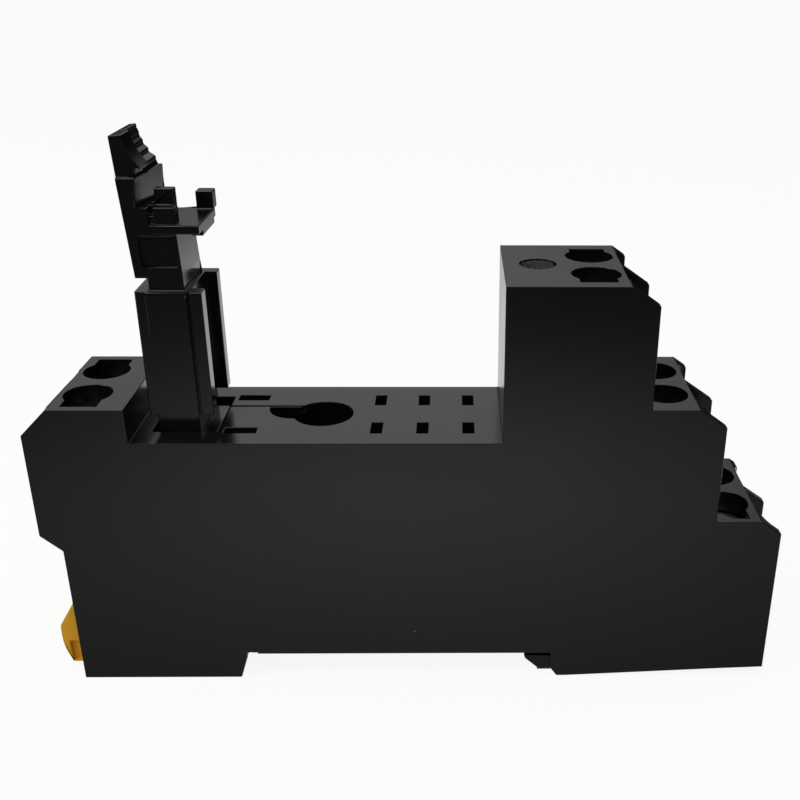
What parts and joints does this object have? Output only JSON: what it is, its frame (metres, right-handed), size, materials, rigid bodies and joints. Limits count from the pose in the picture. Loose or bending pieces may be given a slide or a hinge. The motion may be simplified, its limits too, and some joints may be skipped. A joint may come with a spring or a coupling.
{
  "type": "relay socket",
  "caption": "Screw-terminal socket for a plug-in relay, clipped to a 35 mm rail, with a holding and ejecting lever.",
  "frame": {"origin": "middle of the rail seat, on the face that meets the rail", "axes": "+X along the socket to the stepped terminals, +Y through its thickness, +Z away from the rail"},
  "size_m": [0.0821, 0.0156, 0.0611],
  "materials": {
    "black_plastic": "moulded, slightly glossy charcoal black",
    "lever_plastic": "moulded black, a little glossier than the housing",
    "amber_plastic": "moulded yellow-orange, satin",
    "plated_steel": "zinc plated, satin",
    "spring_steel": "drawn spring wire",
    "contact_alloy": "stamped copper alloy, bright"
  },
  "bodies": {
    "base": {"housing": "black_plastic", "base_cover": "black_plastic", "latch_spring": "spring_steel", "contact_strip_1": "contact_alloy", "contact_strip_2": "contact_alloy", "contact_strip_3": "contact_alloy", "contact_strip_4": "contact_alloy", "contact_strip_5": "contact_alloy", "contact_strip_6": "contact_alloy", "coil_strip_1": "contact_alloy", "coil_strip_2": "contact_alloy"},
    "lever": {"release_lever": "lever_plastic"},
    "latch": {"rail_latch": "amber_plastic"},
    "screw_1": {"terminal_screw_1": "plated_steel"},
    "clamp_1": {"wire_clamp_1": "plated_steel"},
    "screw_2": {"terminal_screw_2": "plated_steel"},
    "clamp_2": {"wire_clamp_2": "plated_steel"},
    "screw_3": {"terminal_screw_3": "plated_steel"},
    "clamp_3": {"wire_clamp_3": "plated_steel"},
    "screw_4": {"terminal_screw_4": "plated_steel"},
    "clamp_4": {"wire_clamp_4": "plated_steel"},
    "screw_5": {"terminal_screw_5": "plated_steel"},
    "clamp_5": {"wire_clamp_5": "plated_steel"},
    "screw_6": {"terminal_screw_6": "plated_steel"},
    "clamp_6": {"wire_clamp_6": "plated_steel"},
    "screw_7": {"terminal_screw_7": "plated_steel"},
    "clamp_7": {"wire_clamp_7": "plated_steel"},
    "screw_8": {"terminal_screw_8": "plated_steel"},
    "clamp_8": {"wire_clamp_8": "plated_steel"}
  },
  "joints": [
    {"name": "lever_tilt", "type": "hinge", "parent": "base", "child": "lever", "pos_m": [-0.02295, 0, 0.0243], "axis": [0, -1, 0], "range_deg": [0, 12]},
    {"name": "latch_slide", "type": "slide", "parent": "base", "child": "latch", "axis": [-1, 0, 0], "range_m": [0, 0.0025], "stiffness_N_per_m": 400, "springref_m": -0.001, "deforming": ["latch_spring"]},
    {"name": "screw_turn_1", "type": "hinge", "parent": "base", "child": "screw_1", "pos_m": [0.0211, -0.00335, 0.03995], "axis": [0, 0, -1], "range_deg": [0, 1296]},
    {"name": "clamp_rise_1", "type": "slide", "parent": "base", "child": "clamp_1", "axis": [0, 0, 1], "range_m": [0, 0.0018]},
    {"name": "screw_turn_2", "type": "hinge", "parent": "base", "child": "screw_2", "pos_m": [0.02915, -0.00335, 0.02655], "axis": [0, 0, -1], "range_deg": [0, 1296]},
    {"name": "clamp_rise_2", "type": "slide", "parent": "base", "child": "clamp_2", "axis": [0, 0, 1], "range_m": [0, 0.0018]},
    {"name": "screw_turn_3", "type": "hinge", "parent": "base", "child": "screw_3", "pos_m": [0.0372, -0.00335, 0.01315], "axis": [0, 0, -1], "range_deg": [0, 1296]},
    {"name": "clamp_rise_3", "type": "slide", "parent": "base", "child": "clamp_3", "axis": [0, 0, 1], "range_m": [0, 0.0018]},
    {"name": "screw_turn_4", "type": "hinge", "parent": "base", "child": "screw_4", "pos_m": [-0.0329, -0.00335, 0.02655], "axis": [0, 0, -1], "range_deg": [0, 1296]},
    {"name": "clamp_rise_4", "type": "slide", "parent": "base", "child": "clamp_4", "axis": [0, 0, 1], "range_m": [0, 0.0018]},
    {"name": "screw_turn_5", "type": "hinge", "parent": "base", "child": "screw_5", "pos_m": [0.0211, 0.00335, 0.03995], "axis": [0, 0, -1], "range_deg": [0, 1296]},
    {"name": "clamp_rise_5", "type": "slide", "parent": "base", "child": "clamp_5", "axis": [0, 0, 1], "range_m": [0, 0.0018]},
    {"name": "screw_turn_6", "type": "hinge", "parent": "base", "child": "screw_6", "pos_m": [0.02915, 0.00335, 0.02655], "axis": [0, 0, -1], "range_deg": [0, 1296]},
    {"name": "clamp_rise_6", "type": "slide", "parent": "base", "child": "clamp_6", "axis": [0, 0, 1], "range_m": [0, 0.0018]},
    {"name": "screw_turn_7", "type": "hinge", "parent": "base", "child": "screw_7", "pos_m": [0.0372, 0.00335, 0.01315], "axis": [0, 0, -1], "range_deg": [0, 1296]},
    {"name": "clamp_rise_7", "type": "slide", "parent": "base", "child": "clamp_7", "axis": [0, 0, 1], "range_m": [0, 0.0018]},
    {"name": "screw_turn_8", "type": "hinge", "parent": "base", "child": "screw_8", "pos_m": [-0.0329, 0.00335, 0.02655], "axis": [0, 0, -1], "range_deg": [0, 1296]},
    {"name": "clamp_rise_8", "type": "slide", "parent": "base", "child": "clamp_8", "axis": [0, 0, 1], "range_m": [0, 0.0018]}
  ],
  "couplings": [
    {"joint": "screw_turn_1", "follows": "clamp_rise_1", "rad_per_m": 12566},
    {"joint": "screw_turn_2", "follows": "clamp_rise_2", "rad_per_m": 12566},
    {"joint": "screw_turn_3", "follows": "clamp_rise_3", "rad_per_m": 12566},
    {"joint": "screw_turn_4", "follows": "clamp_rise_4", "rad_per_m": 12566},
    {"joint": "screw_turn_5", "follows": "clamp_rise_5", "rad_per_m": 12566},
    {"joint": "screw_turn_6", "follows": "clamp_rise_6", "rad_per_m": 12566},
    {"joint": "screw_turn_7", "follows": "clamp_rise_7", "rad_per_m": 12566},
    {"joint": "screw_turn_8", "follows": "clamp_rise_8", "rad_per_m": 12566}
  ]
}
